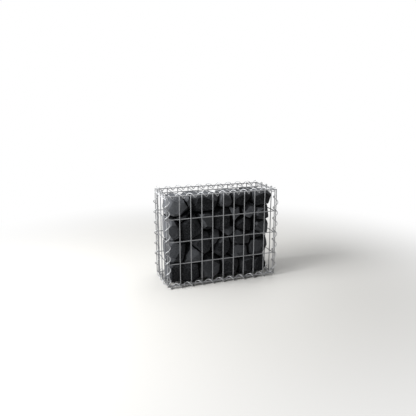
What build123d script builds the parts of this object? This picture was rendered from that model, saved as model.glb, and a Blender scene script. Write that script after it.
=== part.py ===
from build123d import *
from math import ceil, cos, floor, radians, sin, sqrt, tan, tau
import os

# A welded-mesh gabion basket filled with broken rock. The length runs along X, the front face
# looks towards -Y and Z points up. The origin is at the middle of the footprint, on the ground.

# Mesh: the uprights lie outside the level wires and are welded to them
upright_spacing = 50.0
level_spacing = 100.0
cells_long = 10
cells_deep = 4
cells_high = 4
wire = 4.0
weld_sink = 0.6
bar_sides = 6
cut_clearance = 0.1

# Spirals: one wire screwed along each edge, round the edge wires of both panels
spiral_wire = 3.8
spiral_radius = 10.6
spiral_sides = 4
runs_per_turn = 8
spiral_lift = 0.3
spiral_spacing = 0.5
spiral_seat = 0.3

# Fill: broken rock, one stone behind each long face
joint = 0.3
cleft = 3.0
chipped_corners = 9
chip_depth = 0.13
wander = 9.0
right_end_slack = 6.0
right_end_lean = 0.05
rear_end_slack = 26.0
rear_top_slack = 10.0

# Where each spiral passes the wires that cross its edge, as an angle about the edge
top_front_turn = 107
top_rear_turn = 73
bottom_front_turn = 205
bottom_rear_turn = 335
top_end_turn = 0
bottom_end_turn = 180
front_left_turn = 143
front_right_turn = 37
rear_left_turn = 217
rear_right_turn = 323

# Stones of the front face, course by course: the place along the wall in upright spacings, the
# place up it in level spacings, the reach in upright spacings, and how far the cleft face is
# turned to the left and tipped up, in degrees
front_courses = {
    "bottom": [(0.56, 0.52, 0.84, -9, -6), (2.02, 0.48, 0.88, 12, 2), (3.98, 0.62, 1.00, 5, 9),
               (5.94, 0.60, 0.92, 10, 4), (7.60, 0.60, 0.84, -10, 2), (8.90, 0.58, 0.76, -12, -6)],
    "lower": [(0.76, 1.48, 0.92, 22, 14), (2.26, 1.32, 0.68, 9, 14), (3.08, 1.82, 0.76, 6, 15),
              (4.32, 1.90, 0.72, 8, 10), (5.14, 1.56, 0.72, -14, 5), (6.60, 1.26, 0.84, 3, 20),
              (6.84, 1.86, 0.84, -6, -10), (8.64, 1.34, 0.84, 12, 8), (8.50, 1.84, 0.48, -8, -9)],
    "upper": [(0.60, 2.52, 0.80, 12, -5), (1.56, 2.86, 0.36, 4, -16), (2.16, 2.50, 0.92, 14, 1),
              (3.68, 2.80, 0.66, -9, -8), (5.14, 2.83, 0.80, 11, 10), (6.44, 3.00, 0.68, -9, 8),
              (7.74, 3.08, 0.68, 8, 17), (9.00, 2.94, 0.80, -12, -9), (8.96, 2.37, 0.84, -8, 8),
              (7.16, 2.46, 0.72, -13, 4), (5.80, 2.25, 0.52, 5, 15)],
    "top": [(0.94, 3.58, 0.84, 14, 3), (1.82, 3.84, 0.34, -8, 18), (3.44, 3.92, 1.44, 7, 7),
            (5.42, 3.65, 0.58, -6, 12), (7.00, 3.84, 1.00, -9, -9), (8.94, 3.66, 1.00, 10, 10)],
}


def corner_radius(diameter, sides):
    """Corner radius of the polygon that has the same area as a round wire."""
    return diameter / 2 * sqrt(tau / (sides * sin(tau / sides)))


# Sizes and places that follow from those above
length = cells_long * upright_spacing
depth = cells_deep * upright_spacing
height = cells_high * level_spacing
half_wire = corner_radius(wire, bar_sides) * cos(tau / (2 * bar_sides))
wire_corner = corner_radius(wire, bar_sides)
layer = 2 * half_wire - weld_sink
tube = spiral_radius + corner_radius(spiral_wire, spiral_sides)
corner_pitch = level_spacing / max(1, round(level_spacing / upright_spacing))

# The bottom wires stand clear of the ground by the spirals below them
bottom = tube - spiral_lift
top = bottom + height
left = -length / 2
front = -depth / 2
long_uprights = [left + upright_spacing * k for k in range(cells_long + 1)]
end_uprights = [front + upright_spacing * k for k in range(cells_deep + 1)]
levels = [bottom + level_spacing * k for k in range(cells_high + 1)]

# The end panels stand outside the others, so that the cut ends of the wires pass each other.
# The outer wires of the lid and the base lie beside the level wires of the long faces.
end_offset = wire_corner + cut_clearance + half_wire + layer
end_plane = left - end_offset
front_level = front + layer
lid_edge = front_level + half_wire + cut_clearance + wire_corner
lid_wires = [lid_edge, 0.0, -lid_edge]

# Lines about which the spirals turn. Each spiral is drawn outwards against the innermost of the
# wires that it holds: the edge wires of the lid and the base, and the corner uprights.
bore = spiral_radius * cos(tau / (2 * runs_per_turn)) - corner_radius(spiral_wire, spiral_sides)
hold = bore - wire_corner - spiral_seat
long_axis_y = lid_edge - hold
end_axis_x = left - hold
top_axis = top + spiral_lift
bottom_axis = bottom + spiral_lift
end_top_axis = top - layer + spiral_lift
end_bottom_axis = bottom + layer - spiral_lift


def bar(start, end, facing):
    """A wire with few sides, one flat towards the layer that it is welded to."""
    run = end - start
    section = Plane(origin=start, x_dir=facing, z_dir=run) * RegularPolygon(
        half_wire, bar_sides, major_radius=False, rotation=180 / bar_sides)
    return extrude(section, amount=run.length)


def panel(plane, outer_at, outer_ends, inner_at, inner_ends):
    """A welded panel: outer wires run along the plane's y, inner ones behind them along its x."""
    facing = Vector(0, 0, 1)
    bars = []
    for x in outer_at:
        bars.append(bar(Vector(x, outer_ends[0], 0), Vector(x, outer_ends[1], 0), facing))
    for y in inner_at:
        start = Vector(inner_ends[0], y, -layer)
        bars.append(bar(start, Vector(inner_ends[1], y, -layer), facing))
    return plane * bars[0].fuse(*bars[1:])


def spiral(start, end, across, up, pitch, turn, turn_at):
    """A right-handed spiral in straight runs. It lies at the angle turn, from across towards up,
    where it passes the wire that crosses its edge turn_at along from the start."""
    axis = end - start
    run = pitch / runs_per_turn
    points = []
    for k in range(ceil(-turn_at / run), floor((axis.length - turn_at) / run) + 1):
        angle = radians(turn) + tau * k / runs_per_turn
        offset = across * cos(angle) + up * sin(angle)
        points.append(start + axis.normalized() * (turn_at + run * k) + offset * spiral_radius)
    section = Plane(origin=points[0], z_dir=points[1] - points[0]) * RegularPolygon(
        corner_radius(spiral_wire, spiral_sides), spiral_sides)
    return sweep(section, path=Polyline(*points), transition=Transition.RIGHT)


def trim(block, point, outward):
    """The part of a block behind the plane through a point."""
    return split(block, bisect_by=Plane(origin=point, z_dir=outward), keep=Keep.BOTTOM)


# Panels
x_axis, y_axis, z_axis = Vector(1, 0, 0), Vector(0, 1, 0), Vector(0, 0, 1)
upright_ends = (bottom - wire_corner, top + wire_corner)
long_ends = (left - wire_corner, wire_corner - left)
end_ends = (front - wire_corner, wire_corner - front)
lid_ends = (lid_edge - wire_corner, wire_corner - lid_edge)
parts = {
    "front_panel": panel(Plane((0, front, 0), x_axis, -y_axis),
                         long_uprights, upright_ends, levels, long_ends),
    "rear_panel": panel(Plane((0, -front, 0), -x_axis, y_axis),
                        long_uprights, upright_ends, levels, long_ends),
    "left_end_panel": panel(Plane((end_plane, 0, 0), -y_axis, -x_axis),
                            end_uprights, upright_ends, levels, end_ends),
    "right_end_panel": panel(Plane((-end_plane, 0, 0), y_axis, x_axis),
                             end_uprights, upright_ends, levels, end_ends),
    "base_panel": panel(Plane((0, 0, bottom), y_axis, -z_axis),
                        lid_wires, long_ends, long_uprights, lid_ends),
    "lid_panel": panel(Plane((0, 0, top), -y_axis, z_axis),
                       lid_wires, long_ends, long_uprights, lid_ends),
}

# Spirals. Those along the wall run its whole length, and the others stop just short of them.
reach = -long_axis_y - tube - spiral_spacing
for name, side, turns in (("front", 1, (top_front_turn, bottom_front_turn)),
                          ("rear", -1, (top_rear_turn, bottom_rear_turn))):
    y = long_axis_y * side
    for level, z, turn in (("top", top_axis, turns[0]), ("bottom", bottom_axis, turns[1])):
        parts[f"spiral_{level}_{name}"] = spiral(
            Vector(left, y, z), Vector(-left, y, z), y_axis, z_axis, upright_spacing, turn, 0)
for name, side in (("left", 1), ("right", -1)):
    x = end_axis_x * side
    for level, z, turn in (("top", end_top_axis, top_end_turn),
                           ("bottom", end_bottom_axis, bottom_end_turn)):
        parts[f"spiral_{level}_{name}"] = spiral(
            Vector(x, -reach, z), Vector(x, reach, z), z_axis, x_axis, upright_spacing, turn,
            reach + front)
low = bottom_axis + tube + spiral_spacing
high = top_axis - tube - spiral_spacing
for name, x_side, y_side, turn in (("front_left", 1, 1, front_left_turn),
                                   ("front_right", -1, 1, front_right_turn),
                                   ("rear_left", 1, -1, rear_left_turn),
                                   ("rear_right", -1, -1, rear_right_turn)):
    x, y = end_axis_x * x_side, front * y_side
    parts[f"spiral_corner_{name}"] = spiral(
        Vector(x, y, low), Vector(x, y, high), x_axis, y_axis, corner_pitch, turn, bottom - low)


# Fill. The stones stay inside the wires of every panel and clear of the spirals at every edge.
inside = layer + half_wire + joint
wall_x, wall_y = -(end_plane + inside), -(front + inside)
floor_z, roof_z = bottom + inside, top - inside
stone_middle = wall_y / 2
fill = Pos(0, 0, (floor_z + roof_z) / 2) * Box(2 * wall_x, 2 * wall_y, roof_z - floor_z)
slant = tube + joint
for side in (1, -1):
    for z, up in ((top_axis, 1), (bottom_axis, -1)):
        outward = Vector(0, -side, up).normalized()
        fill = trim(fill, Vector(0, long_axis_y * side, z) - outward * slant, outward)
    for z, up in ((end_top_axis, 1), (end_bottom_axis, -1)):
        outward = Vector(-side, 0, up).normalized()
        fill = trim(fill, Vector(end_axis_x * side, 0, z) - outward * slant, outward)
    for other in (1, -1):
        outward = Vector(-side, -other, 0).normalized()
        axis = Vector(end_axis_x * side, front * other, 0)
        fill = trim(fill, axis - outward * slant, outward)
fill = trim(fill, Vector(wall_x - right_end_slack, 0, top), Vector(1, 0, -right_end_lean))
front_fill = trim(fill, Vector(0, -joint / 2, 0), y_axis)
rear_fill = trim(fill, Vector(0, joint / 2, 0), -y_axis)
rear_fill = trim(rear_fill, Vector(rear_end_slack - wall_x, 0, 0), -x_axis)
rear_fill = trim(rear_fill, Vector(0, 0, roof_z - rear_top_slack), z_axis)
settled = 1 - rear_top_slack / height


def sites(side, settling):
    """Course, middle, reach and cleft face of each stone of a long face. The rear stones are the
    front ones turned about, and have settled a little."""
    found = []
    for course, stones in front_courses.items():
        for along, high, span, turned, tipped in stones:
            outwards = stone_middle - wander * sin(tau * (along + high))
            middle = Vector((left + along * upright_spacing) * side, -outwards * side,
                            bottom + high * level_spacing * settling)
            cleft_face = Vector(-sin(radians(turned)) * side, -cos(radians(turned)) * side,
                                tan(radians(tipped)))
            found.append((course, middle, span * upright_spacing, cleft_face))
    return found


def stone(block, middle, span, cleft_face, others):
    """One stone: the part of the block nearest to its middle, cleft on the side that shows, with
    its outer corners broken."""
    for _, other, other_span, _ in others:
        way = other - middle
        if way.length == 0:
            continue
        near = (way.length ** 2 + span ** 2 - other_span ** 2) / (2 * way.length) - joint / 2
        face = middle + way.normalized() * near
        if any((Vector(v) - face).dot(way) > 0 for v in block.vertices()):
            block = trim(block, face, way)
    side = 1 if middle.Y < 0 else -1
    block = trim(block, Vector(middle.X, (cleft - wall_y) * side, middle.Z), cleft_face)
    core = block.center()
    corners = sorted((Vector(v) - core for v in block.vertices()), key=lambda spoke: -spoke.length)
    for spoke in corners[:chipped_corners]:
        block = trim(block, core + spoke * (1 - chip_depth), spoke)
    return block


for name, block, own in (("front", front_fill, sites(1, 1)),
                         ("rear", rear_fill, sites(-1, settled))):
    for course in front_courses:
        stones = [stone(block, middle, span, cleft_face, own)
                  for of_course, middle, span, cleft_face in own if of_course == course]
        parts[f"stones_{name}_{course}"] = Compound(children=stones)

os.makedirs("parts", exist_ok=True)
lowest = min(shape.bounding_box().min.Z for shape in parts.values())
for name, shape in parts.items():
    export_step(Pos(0, 0, -lowest) * shape, f"parts/{name}.step")
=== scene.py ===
from math import cos, pi, radians, sin, tau
import random
import bmesh
import bpy
from mathutils import Matrix, Vector, noise


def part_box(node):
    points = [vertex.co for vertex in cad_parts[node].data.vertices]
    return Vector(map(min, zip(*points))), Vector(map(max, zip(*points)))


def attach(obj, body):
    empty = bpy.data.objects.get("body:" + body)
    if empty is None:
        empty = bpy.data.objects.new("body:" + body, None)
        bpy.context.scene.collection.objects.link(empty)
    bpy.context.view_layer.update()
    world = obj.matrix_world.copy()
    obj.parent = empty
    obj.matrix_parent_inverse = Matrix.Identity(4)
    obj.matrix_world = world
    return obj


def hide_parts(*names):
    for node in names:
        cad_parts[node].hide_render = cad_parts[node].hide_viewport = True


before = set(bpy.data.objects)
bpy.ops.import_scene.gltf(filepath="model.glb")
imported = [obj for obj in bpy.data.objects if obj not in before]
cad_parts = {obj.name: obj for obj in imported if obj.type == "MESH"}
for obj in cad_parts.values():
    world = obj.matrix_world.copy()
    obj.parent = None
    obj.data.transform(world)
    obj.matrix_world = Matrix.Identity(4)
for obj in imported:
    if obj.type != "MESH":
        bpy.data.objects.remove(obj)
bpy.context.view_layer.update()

# Welded mesh panels
# Six flat panels of drawn steel wire, 4 mm thick. The wires are laid across each other in two
# layers, spot-welded at every crossing, cut to length and hot-dip galvanised.
mesh_wire = 0.004
wire_sides = 12
upright_spacing = 0.05
level_spacing = 0.1
lengthwise_wires = 3

# The wires follow the six-sided CAD bars. Half a bar's width across its corners and its flats
bar_corner = 0.002199
bar_flat = 0.001905

# A wire bows by up to this much each way between two welds. A weld is a bead, flattened between
# its wires. The seed is the first panel's, and the others count on from it
mesh_sway = 0.0003
sways_per_span = 4
bead_half_width = 0.0028
bead_half_depth = 0.0017
bead_sides = 8
bead_rings = 5
panel_seed = 100

# Duller and brighter clouds in the zinc are about 11 mm across. Its lumps are under a millimetre,
# too fine to show, so they are drawn at 2.4 mm
cloud_size = 0.011
lump_size = 0.0024
lump_height = 0.0004
lump_strength = 0.12


def colour(code):
    """A linear colour, with alpha, from the sRGB hex code of a paint, a metal or a stone."""
    parts = [int(code[k:k + 2], 16) / 255 for k in (1, 3, 5)]
    linear = [p / 12.92 if p <= 0.04045 else ((p + 0.055) / 1.055) ** 2.4 for p in parts]
    return (*linear, 1.0)


def add(tree, kind, links=None, **settings):
    """Adds a shader node. A link is a value for the socket, or another node's output."""
    made = tree.nodes.new(kind)
    for name, value in settings.items():
        setattr(made, name, value)
    for name, value in (links or {}).items():
        if isinstance(value, bpy.types.NodeSocket):
            tree.links.new(value, made.inputs[name])
        else:
            made.inputs[name].default_value = value
    return made


def material(name):
    """A new material with its node tree and its shader."""
    made = bpy.data.materials.new(name)
    made.use_nodes = True
    return made, made.node_tree, made.node_tree.nodes["Principled BSDF"]


def galvanised_steel(name, dark, light, roughness):
    """Zinc on steel wire. Its clouds make a wire uneven along its length, and its lumps break up
    the highlight, so that it has a dull sheen and no mirror."""
    made, tree, shader = material(name)
    place = add(tree, "ShaderNodeTexCoord").outputs["Object"]
    clouds = add(tree, "ShaderNodeTexNoise", {"Vector": place, "Scale": 1 / cloud_size,
                                              "Detail": 3.0})
    lumps = add(tree, "ShaderNodeTexNoise", {"Vector": place, "Scale": 1 / lump_size,
                                             "Detail": 2.0})
    tones = add(tree, "ShaderNodeMix", {"Factor": clouds.outputs["Fac"], "A": dark, "B": light},
                data_type="RGBA")
    tree.links.new(tones.outputs["Result"], shader.inputs["Base Color"])
    rough = add(tree, "ShaderNodeMapRange", {"Value": clouds.outputs["Fac"],
                                             "To Min": roughness[0], "To Max": roughness[1]})
    tree.links.new(rough.outputs["Result"], shader.inputs["Roughness"])
    shader.inputs["Metallic"].default_value = 1.0
    bump = add(tree, "ShaderNodeBump", {"Height": lumps.outputs["Fac"],
                                        "Strength": lump_strength, "Distance": lump_height})
    tree.links.new(bump.outputs["Normal"], shader.inputs["Normal"])
    return made


def join(whole, part):
    """Adds one mesh to another and lets go of it."""
    mesh = bpy.data.meshes.new("part")
    part.to_mesh(mesh)
    part.free()
    whole.from_mesh(mesh)
    bpy.data.meshes.remove(mesh)


def cut_end(strand, thickness, sides, at, heading):
    """The flat round end that a wire is drawn out from."""
    lie = heading.to_track_quat("Z", "Y").to_matrix().to_4x4()
    ring = bmesh.ops.create_circle(strand, cap_ends=True, segments=sides, radius=thickness / 2,
                                   matrix=Matrix.Translation(at) @ lie)
    return ring["verts"][0].link_faces[0]


def drawn_wire(basket, start, end, spans, rng):
    """One straight wire that bows a little between its welds. The disc that each stretch grows
    from is taken out, so that the wire is one closed shell."""
    strand = bmesh.new()
    run = end - start
    side = run.orthogonal().normalized()
    other = run.cross(side).normalized()
    first_end = face = cut_end(strand, mesh_wire, wire_sides, start, run)
    before = Vector()
    for _ in range(spans):
        lean = (side * rng.uniform(-1, 1) + other * rng.uniform(-1, 1)) * mesh_sway
        for k in range(1, sways_per_span + 1):
            sway = lean * sin(pi * k / sways_per_span)
            grown = bmesh.ops.extrude_face_region(strand, geom=[face])["geom"]
            if face is not first_end:
                bmesh.ops.delete(strand, geom=[face], context="FACES_ONLY")
            face = next(f for f in grown if isinstance(f, bmesh.types.BMFace))
            step = run / (spans * sways_per_span) + sway - before
            bmesh.ops.translate(strand, verts=face.verts, vec=step)
            before = sway
    join(basket, strand)


def weld_bead(basket, spot, facing):
    """The metal squeezed out where two wires are welded across each other."""
    size = [bead_half_width] * 3
    size[facing] = bead_half_depth
    bead = bmesh.new()
    bmesh.ops.create_uvsphere(bead, u_segments=bead_sides, v_segments=bead_rings, radius=1.0,
                              matrix=Matrix.Translation(spot) @ Matrix.Diagonal((*size, 1)))
    join(basket, bead)


def round_off(wires):
    """Turns the wires' faces outwards, and shades their sides round and their cut ends flat."""
    bmesh.ops.recalc_face_normals(wires, faces=wires.faces)
    for face in wires.faces:
        face.smooth = len(face.verts) <= 4


def finished(name, shape, finish, slot, *nodes):
    """Makes a mesh a piece of the basket that stands for the named CAD nodes."""
    mesh = bpy.data.meshes.new(name)
    shape.to_mesh(mesh)
    shape.free()
    mesh.materials.append(finish)
    made = bpy.data.objects.new(name, mesh)
    bpy.context.scene.collection.objects.link(made)
    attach(made, "root")
    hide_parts(*nodes)
    return made


def places(low, high, count):
    """Middles of the wires of one layer, from the first to the last."""
    step = (high - low - 2 * bar_corner) / (count - 1)
    return [low + bar_corner + step * k for k in range(count)]


# Hot-dip galvanised and weathered: a flat, light grey with a wide, faint highlight
zinc = galvanised_steel("galvanised_mesh_wire", colour("#828385"), colour("#929395"), (0.62, 0.77))

# Each panel: the axis that it faces along, the side, and the axes along which its outer and its
# inner wires run. The uprights are the outer wires of the walls.
panels = {
    "front_panel": (1, -1, 2, 0),
    "rear_panel": (1, 1, 2, 0),
    "left_end_panel": (0, -1, 2, 1),
    "right_end_panel": (0, 1, 2, 1),
    "base_panel": (2, -1, 0, 1),
    "lid_panel": (2, 1, 0, 1),
}
for seed, (node, (facing, side, outer, inner)) in enumerate(panels.items()):
    rng = random.Random(panel_seed + seed)
    low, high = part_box(node)
    faces = (low, high) if side < 0 else (high, low)
    outer_at = faces[0][facing] - side * bar_flat
    inner_at = faces[1][facing] + side * bar_flat
    if facing == 2:
        outer_count = lengthwise_wires
        inner_count = round((high[outer] - low[outer]) / upright_spacing) + 1
    else:
        outer_count = round((high[inner] - low[inner]) / upright_spacing) + 1
        inner_count = round((high[outer] - low[outer]) / level_spacing) + 1
    basket = bmesh.new()
    for run, across, at, count, crossings in ((outer, inner, outer_at, outer_count, inner_count),
                                              (inner, outer, inner_at, inner_count, outer_count)):
        for place in places(low[across], high[across], count):
            start, end = Vector(low), Vector(high)
            start[facing] = end[facing] = at
            start[across] = end[across] = place
            drawn_wire(basket, start, end, crossings - 1, rng)
    for a in places(low[inner], high[inner], outer_count):
        for b in places(low[outer], high[outer], inner_count):
            spot = Vector()
            spot[inner], spot[outer] = a, b
            spot[facing] = (outer_at + inner_at) / 2
            weld_bead(basket, spot, facing)
    round_off(basket)
    finished(node.replace("panel", "mesh"), basket, zinc, "mesh_wire", node)

# Spiral binders
# Twelve right-handed spirals of galvanised spring wire, 3.8 mm thick. Each is screwed along an
# edge of the basket, round the edge wires of two panels, and holds them together like a hinge.
spiral_wire = 0.0038
spiral_sides = 12
spiral_pitch = upright_spacing
steps_per_turn = 24

# From the axis of a spiral to the middle of its wire
spiral_radius = 0.0104

# A spiral strays from its line by less than this each way. The noise that it strays by is read
# this many turns apart for the two ways, and twice as many for the next spiral
spiral_sway = 0.0005
sways_apart = 5

# Galvanised after it was drawn hard: brighter than the mesh, with a closer highlight on each turn
bright_zinc = galvanised_steel("galvanised_spiral_wire", colour("#949597"), colour("#aaabad"),
                               (0.48, 0.63))

# Each spiral: the axis of its edge, and the angle in degrees at which it passes the wires that
# cross it
spirals = {
    "spiral_top_front": (0, 107), "spiral_top_rear": (0, 73),
    "spiral_bottom_front": (0, 205), "spiral_bottom_rear": (0, 335),
    "spiral_top_left": (1, 0), "spiral_top_right": (1, 0),
    "spiral_bottom_left": (1, 180), "spiral_bottom_right": (1, 180),
    "spiral_corner_front_left": (2, 143), "spiral_corner_front_right": (2, 37),
    "spiral_corner_rear_left": (2, 217), "spiral_corner_rear_right": (2, 323),
}
first_crossing = Vector(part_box("front_panel")[0]) + Vector((bar_corner, bar_flat, bar_corner))
for seed, (node, (axis, turn)) in enumerate(spirals.items()):
    low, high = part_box(node)
    along = Vector([k == axis for k in range(3)])
    across = Vector([k == (axis + 1) % 3 for k in range(3)])
    up = along.cross(across)
    start, end = low[axis] + spiral_wire / 2, high[axis] - spiral_wire / 2
    angle = radians(turn) + tau * (start - first_crossing[axis]) / spiral_pitch
    turns = (end - start) / spiral_pitch
    steps = round(turns * steps_per_turn)
    spoke = across * cos(angle) + up * sin(angle)
    heading = (up * cos(angle) - across * sin(angle)) * spiral_radius * tau + along * spiral_pitch
    centre = (low + high) / 2
    centre[axis] = start
    spring = bmesh.new()
    first_end = cut_end(spring, spiral_wire, spiral_sides, centre + spoke * spiral_radius, heading)
    bmesh.ops.spin(spring, geom=[first_end], cent=centre, axis=along,
                   dvec=along * (end - start) / steps, angle=tau * turns, steps=steps)
    shift = Vector((0, 0, seed * 2 * sways_apart))
    for vert in spring.verts:
        place = vert.co[axis] / spiral_pitch
        vert.co += across * spiral_sway * noise.noise(shift + Vector((place, 0, 0)))
        vert.co += up * spiral_sway * noise.noise(shift + Vector((0, place, sways_apart)))
    round_off(spring)
    finished(node.replace("spiral", "binder"), spring, bright_zinc, "spiral_wire", node)

# Rock fill
# Broken basalt, packed by hand in four courses behind each long face. It splits along flat faces
# with sharp edges that chip, and keeps some pale dust from the quarry. Its colour also holds
# painted light on slopes and on faces that look up, and painted shade on faces that look inwards.

# Each stone is cut from its own CAD solid. Its outer end is drawn in by a share of its size,
# which opens the joints. It is open to an end or to the top of the fill if it comes this near
open_joint = (0.03, 0.12)
end_band = 0.028

# How an open side is cleaved: the most that its main face is turned, in degrees, how far back that
# face lies as a share of the stone, and the number and the depth of the slopes round it
mesh_side = (16, (0.0, 0.06), 7, (0.07, 0.27))
outer_end = (10, (0.0, 0.04), 5, (0.05, 0.18))

# Tilt of the slopes in degrees, how unevenly they stand round the face as a share of their step,
# and the width of a broken edge
slope_tilt = (32, 74)
slope_shuffle = 0.3
edge_break = (0.0018, 0.0045)

# The surface is worn inwards by waves, by grit and by chips on the edges: depth and length of each.
# The grit's finer waves: how fast they fade, how much finer each is, and how many there are
wave_depth, wave_size = 0.0022, 0.026
grit_depth, grit_size = 0.0010, 0.008
grit_waves = (0.8, 2.0, 3)
chip_depth, chip_size = 0.0050, 0.011

# Share of the wear that is left at the middle of the fill, where the two rows of stones meet, and
# how far off in the noise a stone may take its own wear
wear_inside = 0.3
wear_apart = 50

# A stone's edges are halved until they are shorter than this, but this many times at most. Corners
# that lie this close are one. Faces turned by this little, in degrees, are one, and faces turned by
# more than the crease angle meet in a sharp edge
longest_edge = 0.0060
halvings = 5
same_point = 1e-6
merged_within = 0.0002
flat_within = 1
crease_angle = 32

# Paleness, as a share of the most that a face can carry, made of dust and painted light: what a
# stone starts from, what each face adds, the painted light that each slope adds, the dust and
# painted light from above that a face looking up adds, and the dust that a face and the painted
# light that a slope add on an open end
stone_dust = (-0.45, 0.65)
face_dust = (0, 0.25)
slope_painted_light = (0.2, 0.9)
upward_dust_and_light = 0.3
end_dust = 0.15
end_slope_painted_light = 0.5

# A face with more of the fill this far in front of it looks inwards and gets no paleness: it is
# painted shade in the gaps between stones
inward_shade_reach = 0.030

# Random seeds of the front's bottom course, for its stones and for their open ends. Each course
# above adds one, and the rear adds the last of these
rock_seed = 200
end_seed = 300
rear_seed = 10

# The box that holds the whole fill
stone_boxes = [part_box(node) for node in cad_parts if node.startswith("stones")]
fill_low = Vector(map(min, *(low for low, high in stone_boxes)))
fill_high = Vector(map(max, *(high for low, high in stone_boxes)))

# The open sides of the fill besides its long faces: the way each looks, and how far out it lies
open_sides = [
    (Vector((-1, 0, 0)), -fill_low.x),
    (Vector((1, 0, 0)), fill_high.x),
    (Vector((0, 0, 1)), fill_high.z),
]

# Patches and mottles of the basalt, and its grain. The real grain is under half a millimetre, too
# fine to show, so it is drawn at 1.6 mm
patch_size = 0.035
mottle_size = 0.006
grain_size = 0.0016
mottle_height = 0.0020
grain_height = 0.0005


def basalt():
    """Fresh broken basalt: matt and nearly black, so that a stone shows by the light on its flat
    faces, by flecks of paler grains and by a paleness on its faces that is partly dust and partly
    painted light, with painted shade, no paleness, on the faces that look into the fill."""
    made, tree, shader = material("broken_basalt")
    place = add(tree, "ShaderNodeTexCoord").outputs["Object"]
    patches = add(tree, "ShaderNodeTexNoise", {"Vector": place, "Scale": 1 / patch_size,
                                               "Detail": 4.0})
    mottles = add(tree, "ShaderNodeTexNoise", {"Vector": place, "Scale": 1 / mottle_size,
                                               "Detail": 6.0, "Roughness": 0.65})
    grains = add(tree, "ShaderNodeTexNoise", {"Vector": place, "Scale": 1 / grain_size,
                                              "Detail": 3.0})
    base = add(tree, "ShaderNodeMix", {"Factor": patches.outputs["Fac"],
                                       "A": colour("#111214"), "B": colour("#1c1d20")},
               data_type="RGBA")
    # The paleness of each face: dust, painted light on slopes and upward faces, painted shade in
    # the gaps
    dust_and_light_share = add(tree, "ShaderNodeAttribute", attribute_name="tone")
    dusty_and_lit = add(tree, "ShaderNodeMix", {"Factor": dust_and_light_share.outputs["Fac"], "A": base.outputs["Result"],
                                        "B": colour("#5c5e62")}, data_type="RGBA")
    fleck = add(tree, "ShaderNodeMapRange", {"Value": mottles.outputs["Fac"], "From Min": 0.45,
                                             "From Max": 0.75, "To Max": 0.28})
    flecked = add(tree, "ShaderNodeMix", {"Factor": fleck.outputs["Result"],
                                          "A": dusty_and_lit.outputs["Result"], "B": colour("#6a6c6f")},
                  data_type="RGBA")
    tree.links.new(flecked.outputs["Result"], shader.inputs["Base Color"])
    shader.inputs["Roughness"].default_value = 0.92
    shader.inputs["Specular IOR Level"].default_value = 0.12
    coarse = add(tree, "ShaderNodeBump", {"Height": mottles.outputs["Fac"], "Strength": 0.75,
                                          "Distance": mottle_height})
    fine = add(tree, "ShaderNodeBump", {"Height": grains.outputs["Fac"], "Strength": 0.5,
                                        "Distance": grain_height,
                                        "Normal": coarse.outputs["Normal"]})
    tree.links.new(fine.outputs["Normal"], shader.inputs["Normal"])
    return made


def solids(node):
    """The corners of each separate stone in a CAD course."""
    course = bmesh.new()
    course.from_mesh(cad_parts[node].data)
    bmesh.ops.remove_doubles(course, verts=course.verts, dist=same_point)
    found, seen = [], set()
    for first in course.verts:
        if first in seen:
            continue
        stone, waiting = [], [first]
        seen.add(first)
        while waiting:
            vert = waiting.pop()
            stone.append(vert.co.copy())
            for edge in vert.link_edges:
                other = edge.other_vert(vert)
                if other not in seen:
                    seen.add(other)
                    waiting.append(other)
        found.append(stone)
    course.free()
    return found


def share(amount):
    """Keeps an amount of dust between none and the most."""
    return min(1, max(0, amount))


def cleave(stone, point, outward):
    """Knocks off what lies beyond a plane, and closes the stone with a flat face."""
    whole = stone.verts[:] + stone.edges[:] + stone.faces[:]
    cut = bmesh.ops.bisect_plane(stone, geom=whole, plane_co=point, plane_no=outward,
                                 clear_outer=True, dist=same_point)["geom_cut"]
    rim = [e for e in cut if isinstance(e, bmesh.types.BMEdge)]
    return bmesh.ops.edgeloop_fill(stone, edges=rim)["faces"] if rim else []


def cleave_side(stone, core, facing, cuts, shade, rng):
    """Cleaves one open side of a stone: first nearly square to it, then on slopes all round."""
    face_turn, set_back, slopes, slope_depth = cuts
    tone = stone.faces.layers.float["tone"]
    sideways = facing.cross(Vector((0, 0, 1))) if facing.z < 1 else Vector((1, 0, 0))
    start = rng.uniform(0, tau)
    blows = [(rng.uniform(0, face_turn), rng.uniform(0, tau), set_back)]
    for k in range(slopes):
        tilt = rng.uniform(*slope_tilt)
        stands = k + rng.uniform(-slope_shuffle, slope_shuffle)
        blows.append((tilt, start + tau * stands / slopes, slope_depth))
    for tilt, stands_at, depth in blows:
        rise = sideways * cos(stands_at) + sideways.cross(facing) * sin(stands_at)
        way = facing * cos(radians(tilt)) + rise * sin(radians(tilt))
        reach = max((v.co - core).dot(way) for v in stone.verts)
        # Fresh faces on an open end get dust, and painted light that grows with their slope
        for face in cleave(stone, core + way * reach * (1 - rng.uniform(*depth)), way):
            face[tone] = share(shade + end_dust + end_slope_painted_light * sin(radians(tilt)))


def paint_dust_and_light(stone, facing, shade, rng):
    """Lays paleness on the faces that look out of the fill: dust, with painted light most on slopes
    and on what looks up. Faces that look into the fill get painted shade, no paleness.
    """
    tone = stone.faces.layers.float["tone"]
    for face in stone.faces:
        beyond = face.calc_center_median() + face.normal * inward_shade_reach
        # Inward faces get painted shade, slopes painted light, upward faces dust and painted light
        in_painted_shade = all(low < place < high for low, place, high in zip(fill_low, beyond, fill_high))
        slope = 1 - abs(face.normal.dot(facing))
        dust_and_light_share = shade + rng.uniform(*face_dust) + slope * rng.uniform(*slope_painted_light)
        face[tone] = 0 if in_painted_shade else share(dust_and_light_share + upward_dust_and_light * max(0, face.normal.z))


def divide(stone):
    """Divides the faces finely enough to take the wear."""
    bmesh.ops.triangulate(stone, faces=stone.faces)
    for _ in range(halvings):
        long_edges = [e for e in stone.edges if e.calc_length() > longest_edge]
        bmesh.ops.subdivide_edges(stone, edges=long_edges, cuts=1, use_single_edge=True)
        bmesh.ops.triangulate(stone, faces=[f for f in stone.faces if len(f.verts) > 3])


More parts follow.
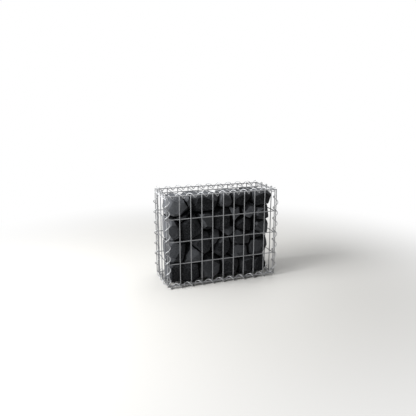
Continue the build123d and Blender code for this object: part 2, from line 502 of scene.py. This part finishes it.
def wear(stone, rng):
    """Pushes the surface inwards, less and less towards the middle of the fill."""
    bmesh.ops.recalc_face_normals(stone, faces=stone.faces)
    stone.normal_update()
    shift = Vector([rng.uniform(-wear_apart, wear_apart) for _ in range(3)])
    moves = []
    for vert in stone.verts:
        edge = max(0.0, vert.calc_shell_factor() - 1)
        wave = 0.5 + 0.5 * noise.noise(shift + vert.co / wave_size)
        grit = 0.5 + 0.5 * noise.fractal(shift + vert.co / grit_size, *grit_waves)
        flake = max(0.0, noise.noise(shift + vert.co / chip_size))
        worn = wave_depth * wave + grit_depth * grit + chip_depth * flake * min(edge, 1)
        moves.append(vert.normal * worn * min(1, wear_inside + abs(vert.co.y / fill_high.y)))
    for vert, move in zip(stone.verts, moves):
        vert.co -= move


def broken_stone(corners, held_at, drawn_in, facing, rng, open_ends, end_rng):
    """One stone: the hull of the solid's corners, with its outer end drawn in towards the corner
    that it is held at, cleaved on each open side, and then broken and worn."""
    stone = bmesh.new()
    stone.faces.layers.float.new("tone")
    corners = [corner + (held_at - corner) * drawn_in * abs(corner.y / fill_high.y)
               for corner in corners]
    for corner in corners:
        stone.verts.new(corner)
    bmesh.ops.convex_hull(stone, input=stone.verts)
    loose = [v for v in stone.verts if not v.link_faces]
    bmesh.ops.delete(stone, geom=loose, context="VERTS")
    bmesh.ops.dissolve_limit(stone, angle_limit=radians(flat_within), verts=stone.verts,
                             edges=stone.edges)
    core = sum(corners, Vector()) / len(corners)
    shade = rng.uniform(*stone_dust)
    cleave_side(stone, core, facing, mesh_side, shade, rng)
    paint_dust_and_light(stone, facing, shade, rng)
    # What is cleaved on an open end keeps the dust and painted light that it gets there
    for end in open_ends:
        cleave_side(stone, core, end, outer_end, shade, end_rng)
    bmesh.ops.bevel(stone, geom=stone.edges, offset=rng.uniform(*edge_break), segments=1,
                    profile=0.5, affect="EDGES", material=-1, clamp_overlap=True)
    bmesh.ops.remove_doubles(stone, verts=stone.verts, dist=merged_within)
    divide(stone)
    wear(stone, rng)
    for face in stone.faces:
        face.smooth = True
    return stone


# A stone is held at its lowest corner, where it lies on the one below, and a stone of the top
# course at its highest corner, which stays up against the lid
basalt_finish = basalt()
for side, facing in (("front", Vector((0, -1, 0))), ("rear", Vector((0, 1, 0)))):
    for seed, course in enumerate(("bottom", "lower", "upper", "top")):
        node = f"stones_{side}_{course}"
        own_seed = seed + rear_seed * (side == "rear")
        rng = random.Random(rock_seed + own_seed)
        end_rng = random.Random(end_seed + own_seed)
        heap = bmesh.new()
        heap.faces.layers.float.new("tone")
        for corners in solids(node):
            pick = max if course == "top" else min
            held_at = pick(corners, key=lambda corner: corner.z)
            open_ends = [way for way, limit in open_sides
                         if max(corner.dot(way) for corner in corners) > limit - end_band]
            join(heap, broken_stone(corners, held_at, rng.uniform(*open_joint), facing, rng,
                                    open_ends, end_rng))
        rocks = finished(f"rocks_{side}_{course}", heap, basalt_finish, "rock", node)
        rocks.data.set_sharp_from_angle(angle=radians(crease_angle))

# Studio floor
# A plain pale surface under the basket. Between two distances from its middle it fades into the
# white background, so that no horizon shows.
floor_size = 12.0
fade_from, fade_to = 0.5, 1.7

# Matt wall paint: no highlight, only the soft shadow of the basket
floor_finish, tree, shader = material("pale_matt_paint")
shader.inputs["Base Color"].default_value = colour("#c8c7c4")
shader.inputs["Roughness"].default_value = 0.9
spot = add(tree, "ShaderNodeTexCoord").outputs["Object"]
away = add(tree, "ShaderNodeVectorMath", {0: spot}, operation="LENGTH")
fade = add(tree, "ShaderNodeMapRange", {"Value": away.outputs["Value"], "From Min": fade_from,
                                        "From Max": fade_to}, interpolation_type="SMOOTHSTEP")
ray = add(tree, "ShaderNodeLightPath")
seen = add(tree, "ShaderNodeMath", {0: ray.outputs["Is Camera Ray"], 1: fade.outputs["Result"]},
           operation="MULTIPLY")
white = add(tree, "ShaderNodeEmission", {"Color": (1, 1, 1, 1), "Strength": 1.0})
blend = add(tree, "ShaderNodeMixShader", {0: seen.outputs["Value"], 1: shader.outputs["BSDF"],
                                          2: white.outputs["Emission"]})
tree.links.new(blend.outputs["Shader"], tree.nodes["Material Output"].inputs["Surface"])
sheet = bmesh.new()
bmesh.ops.create_grid(sheet, x_segments=1, y_segments=1, size=floor_size / 2)
floor_mesh = bpy.data.meshes.new("studio_floor")
sheet.to_mesh(floor_mesh)
sheet.free()
floor_mesh.materials.append(floor_finish)
studio_floor = bpy.data.objects.new("studio_floor", floor_mesh)
bpy.context.scene.collection.objects.link(studio_floor)

# Studio light
# A soft lamp high on the left, a broad one above, a weak one behind on the right, and a dim even
# surround. The camera and reflections see the surround as white.
surround = 0.06
world = bpy.data.worlds.new("studio")
bpy.context.scene.world = world
world.use_nodes = True
tree = world.node_tree
ray = add(tree, "ShaderNodeLightPath")
direct = add(tree, "ShaderNodeMath", {0: ray.outputs["Is Camera Ray"],
                                      1: ray.outputs["Is Glossy Ray"]}, operation="MAXIMUM")
seen = add(tree, "ShaderNodeMath", {0: direct.outputs["Value"],
                                    1: ray.outputs["Is Transmission Ray"]}, operation="MAXIMUM")
strength = add(tree, "ShaderNodeMapRange", {"Value": seen.outputs["Value"], "To Min": surround,
                                            "To Max": 1.0})
backdrop = tree.nodes["Background"]
backdrop.inputs["Color"].default_value = (1, 1, 1, 1)
tree.links.new(strength.outputs["Result"], backdrop.inputs["Strength"])

# Each lamp: where it hangs, its size in metres and its power in watts. All aim at the middle
aimed_at = Vector((0, 0, 0.2))
for name, place, size, power in (("key", (-2.2, -0.3, 1.4), 1.4, 125.0),
                                 ("overhead", (0.2, 0.2, 2.4), 2.0, 26.0),
                                 ("rear", (1.7, 1.9, 1.5), 1.4, 24.0)):
    lamp = bpy.data.lights.new(name, "AREA")
    lamp.size = size
    lamp.energy = power
    light = bpy.data.objects.new(name, lamp)
    light.location = place
    aim = aimed_at - Vector(place)
    light.rotation_euler = aim.to_track_quat("-Z", "Y").to_euler()
    bpy.context.scene.collection.objects.link(light)

# Camera
# It stands to the left of the basket and above it, and looks a little to the right and down. Its
# height is measured from the lowest crossing of the front mesh.
view_from = Vector((-0.7102, -1.8717, 0.7889))
turned_right, tipped_down = radians(19.8), radians(13.4)
lens = 38.8
sensor = 36.0
eye = bpy.data.cameras.new("camera")
eye.lens = lens
eye.sensor_width = sensor
camera = bpy.data.objects.new("camera", eye)
camera.location = view_from + Vector((0, 0, first_crossing.z))
camera.rotation_euler = (pi / 2 - tipped_down, 0, -turned_right)
bpy.context.scene.collection.objects.link(camera)
bpy.context.scene.camera = camera
bpy.context.scene.view_settings.view_transform = "Standard"
